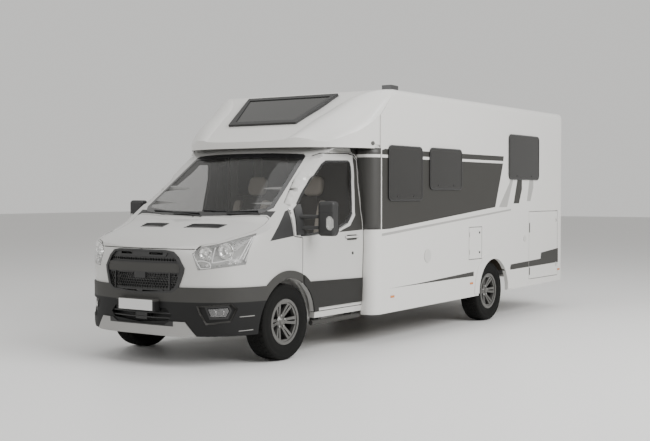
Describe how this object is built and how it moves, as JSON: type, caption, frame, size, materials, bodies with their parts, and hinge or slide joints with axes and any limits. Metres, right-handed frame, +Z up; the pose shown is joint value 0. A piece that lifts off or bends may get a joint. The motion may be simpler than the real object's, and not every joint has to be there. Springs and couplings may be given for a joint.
{
  "type": "motorhome",
  "caption": "Semi-integrated motorhome: front-engined van cab with moulded cap and skylight, flat-sided living body, steered front wheels, opening doors, bonnet and lockers.",
  "frame": {"origin": "on the floor under the middle of the vehicle's length and width", "axes": "-Y forwards, +X to the vehicle's left, +Z up"},
  "size_m": [2.678, 7.4, 2.7699],
  "materials": {
    "tyre_rubber": "matt",
    "rim_alloy": "satin",
    "cast_metal": "matt",
    "chassis_black": "satin",
    "cab_paint": "gloss",
    "body_white": "gloss",
    "trim_black": "matt",
    "grille_black": "satin",
    "lamp_clear": "clear",
    "lamp_orange": "gloss",
    "lamp_red": "gloss",
    "screen_glass": "clear",
    "tinted_pane": "gloss",
    "skid_silver": "satin",
    "interior_dark": "matt",
    "seat_cloth": "matt",
    "tank_plastic": "matt",
    "floor_board": "matt"
  },
  "bodies": {
    "root": {"side_wall_left": "body_white", "side_wall_right": "body_white", "chassis_frame": "chassis_black", "rear_axle": "cast_metal", "engine_block": "cast_metal", "underfloor_tanks": "tank_plastic", "cab_shell": "cab_paint", "front_wing_left": "cab_paint", "front_wing_right": "cab_paint", "front_bumper": "trim_black", "grille": "grille_black", "front_lamps": "lamp_clear", "windscreen": "screen_glass", "cowl_trims": "trim_black", "lower_trims": "trim_black", "dashboard": "interior_dark", "cab_seats": "seat_cloth", "front_cap": "body_white", "skylight_frame": "trim_black", "skylight_glass": "tinted_pane", "side_skirts": "body_white", "rear_arch_trims": "body_white", "roof_panel": "body_white", "rear_wall": "body_white", "floor_panel": "floor_board", "corner_panels": "body_white", "body_windows": "tinted_pane", "roof_hatches": "body_white", "roof_antenna": "trim_black", "rear_bumper": "body_white", "tail_lamps": "lamp_red", "marker_lamps": "lamp_orange", "side_fittings": "body_white", "skid_plate": "skid_silver"},
    "steer_left": {"knuckle_left": "cast_metal"},
    "steer_right": {"knuckle_right": "cast_metal"},
    "wheel_front_left": {"tyre_front_left": "tyre_rubber", "rim_front_left": "rim_alloy"},
    "wheel_front_right": {"tyre_front_right": "tyre_rubber", "rim_front_right": "rim_alloy"},
    "wheel_rear_left": {"tyre_rear_left": "tyre_rubber", "rim_rear_left": "rim_alloy"},
    "wheel_rear_right": {"tyre_rear_right": "tyre_rubber", "rim_rear_right": "rim_alloy"},
    "steering": {"steering_wheel": "interior_dark"},
    "door_left": {"cab_door_left": "cab_paint", "cab_glass_left": "screen_glass", "door_trim_left": "trim_black", "mirror_left": "trim_black"},
    "door_right": {"cab_door_right": "cab_paint", "cab_glass_right": "screen_glass", "door_trim_right": "trim_black", "mirror_right": "trim_black"},
    "bonnet_lid": {"bonnet": "cab_paint"},
    "garage_left": {"garage_door_left": "body_white"},
    "garage_right": {"garage_door_right": "body_white"},
    "flap_left": {"service_flap": "body_white"},
    "entrance": {"entrance_door": "body_white", "entrance_door_window": "tinted_pane"}
  },
  "joints": [
    {"name": "steer_left_turn", "type": "hinge", "parent": "root", "child": "steer_left", "pos_m": [0.765, -2.68, 0.255], "axis": [-0.2633, 0, 0.9647], "range_deg": [-35, 35]},
    {"name": "steer_right_turn", "type": "hinge", "parent": "root", "child": "steer_right", "pos_m": [-0.765, -2.68, 0.255], "axis": [0.2633, 0, 0.9647], "range_deg": [-35, 35]},
    {"name": "steering_wheel_turn", "type": "hinge", "parent": "root", "child": "steering", "pos_m": [0.3811, -2.1775, 1.18162], "axis": [0, 0.848, 0.5299], "range_deg": [-525, 525]},
    {"name": "wheel_front_left_roll", "type": "hinge", "parent": "steer_left", "child": "wheel_front_left", "pos_m": [0.866, -2.68, 0.366], "axis": [1, 0, 0], "continuous": true},
    {"name": "wheel_rear_left_roll", "type": "hinge", "parent": "root", "child": "wheel_rear_left", "pos_m": [0.99, 1.42, 0.366], "axis": [1, 0, 0], "continuous": true},
    {"name": "cab_door_left_swing", "type": "hinge", "parent": "root", "child": "door_left", "pos_m": [1.012, -2.41, 1], "axis": [0, 0, -1], "range_deg": [0, 68]},
    {"name": "garage_door_left_swing", "type": "hinge", "parent": "root", "child": "garage_left", "pos_m": [1.165, 2.48949, 0.9], "axis": [0, 0, -1], "range_deg": [0, 115]},
    {"name": "wheel_front_right_roll", "type": "hinge", "parent": "steer_right", "child": "wheel_front_right", "pos_m": [-0.866, -2.68, 0.366], "axis": [1, 0, 0], "continuous": true},
    {"name": "wheel_rear_right_roll", "type": "hinge", "parent": "root", "child": "wheel_rear_right", "pos_m": [-0.99, 1.42, 0.366], "axis": [1, 0, 0], "continuous": true},
    {"name": "cab_door_right_swing", "type": "hinge", "parent": "root", "child": "door_right", "pos_m": [-1.012, -2.41, 1], "axis": [0, 0, 1], "range_deg": [0, 68]},
    {"name": "garage_door_right_swing", "type": "hinge", "parent": "root", "child": "garage_right", "pos_m": [-1.165, 2.48949, 0.9], "axis": [0, 0, 1], "range_deg": [0, 115]},
    {"name": "bonnet_lift", "type": "hinge", "parent": "root", "child": "bonnet_lid", "pos_m": [0, -2.785, 1.385], "axis": [-1, 0, 0], "range_deg": [0, 50]},
    {"name": "service_flap_swing", "type": "hinge", "parent": "root", "child": "flap_left", "pos_m": [1.165, 0.75452, 0.98], "axis": [0, 0, -1], "range_deg": [0, 115]},
    {"name": "entrance_door_swing", "type": "hinge", "parent": "root", "child": "entrance", "pos_m": [-1.165, -0.97564, 1.2], "axis": [0, 0, 1], "range_deg": [0, 105]}
  ],
  "couplings": [
    {"joint": "steer_right_turn", "follows": "steer_left_turn", "ratio": 1},
    {"joint": "steering_wheel_turn", "follows": "steer_left_turn", "ratio": 15}
  ]
}
